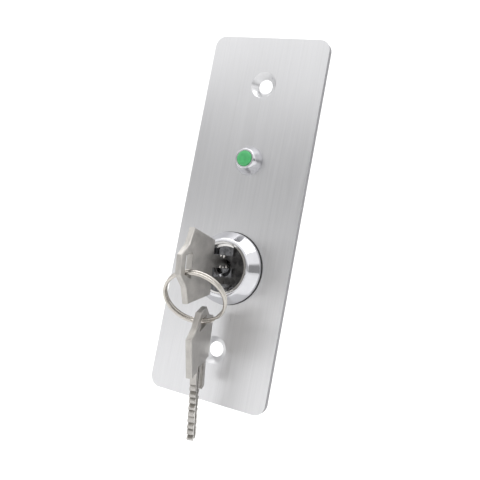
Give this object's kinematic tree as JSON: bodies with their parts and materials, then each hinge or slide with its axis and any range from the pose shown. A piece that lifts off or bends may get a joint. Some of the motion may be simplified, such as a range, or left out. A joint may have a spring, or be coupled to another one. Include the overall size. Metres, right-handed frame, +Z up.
{
  "type": "selector key switch",
  "caption": "Narrow steel face plate with a key-operated switch lock, a round indicator light and a pair of keys on a split ring.",
  "frame": {"origin": "centre of the face plate's back face", "axes": "+Z up along the plate, -Y out of its front towards the person, +X to the right seen from the front"},
  "size_m": [0.04, 0.0559, 0.124],
  "materials": {
    "satin_steel": "satin, brushed along the plate",
    "bright_chrome": "polished",
    "green_lens": "diffused, unlit",
    "tinned_steel": "tinned",
    "black_plastic": "moulded",
    "black_rubber": "matt",
    "die_cast": "nickel plated die casting",
    "plug_chrome": "polished",
    "brass": "stamped",
    "spring_steel": "drawn wire",
    "zinc_steel": "zinc plated",
    "nickel_key": "nickel plated, satin",
    "ring_wire": "nickel plated wire",
    "cam_nylon": "natural nylon"
  },
  "bodies": {
    "frame": {"face_plate": "satin_steel", "led_bezel": "bright_chrome", "led_lens": "green_lens", "led_leads": "tinned_steel", "led_plug": "black_plastic", "led_washer": "zinc_steel", "led_nut": "zinc_steel", "lock_gasket": "black_rubber", "lock_bezel": "bright_chrome", "lock_housing": "die_cast", "lock_washer": "zinc_steel", "lock_nut": "die_cast", "switch_bracket": "zinc_steel", "switch_case": "black_plastic", "switch_cover": "black_plastic", "terminal_com": "brass", "terminal_nc": "brass", "terminal_no": "brass", "switch_screws": "zinc_steel", "switch_nuts": "zinc_steel"},
    "plug": {"plug": "plug_chrome", "wafer_1": "brass", "wafer_2": "brass", "wafer_3": "brass", "wafer_4": "brass", "wafer_5": "brass", "wafer_spring_1": "spring_steel", "wafer_spring_2": "spring_steel", "wafer_spring_3": "spring_steel", "wafer_spring_4": "spring_steel", "wafer_spring_5": "spring_steel", "retaining_clip": "spring_steel", "stop_washer": "zinc_steel", "cam": "cam_nylon", "cam_washer": "zinc_steel", "cam_screw": "zinc_steel"},
    "key": {"key": "nickel_key"},
    "ring": {"key_ring": "ring_wire"},
    "spare_key": {"spare_key": "nickel_key"},
    "plunger": {"switch_plunger": "cam_nylon"},
    "leaf": {"contact_leaf": "brass"}
  },
  "joints": [
    {"name": "plug_turn", "type": "hinge", "parent": "frame", "child": "plug", "pos_m": [0, -0.002, -0.0167], "axis": [0, 1, 0], "range_deg": [0, 90]},
    {"name": "key_slide", "type": "slide", "parent": "plug", "child": "key", "axis": [0, -1, 0], "range_m": [0, 0.02]},
    {"name": "ring_swing", "type": "hinge", "parent": "key", "child": "ring", "pos_m": [0.00021, -0.0271, -0.01859], "axis": [0.965, 0.068, 0.2532], "range_deg": [-75, 3]},
    {"name": "spare_key_swing", "type": "hinge", "parent": "ring", "child": "spare_key", "pos_m": [0.00209, -0.01648, -0.03196], "axis": [0.9758, 0.129, 0.1765], "range_deg": [-40, 3]},
    {"name": "plunger_travel", "type": "slide", "parent": "frame", "child": "plunger", "axis": [0.1097, 0, -0.994], "range_m": [0, 0.000501]},
    {"name": "leaf_rock", "type": "hinge", "parent": "frame", "child": "leaf", "pos_m": [0.00663, 0.02055, -0.02844], "axis": [0, -1, 0], "range_deg": [0, 5.41]}
  ],
  "couplings": [
    {"joint": "plunger_travel", "follows": "plug_turn", "m_per_rad": 0.00031831},
    {"joint": "leaf_rock", "follows": "plug_turn", "ratio": 0.059881}
  ]
}
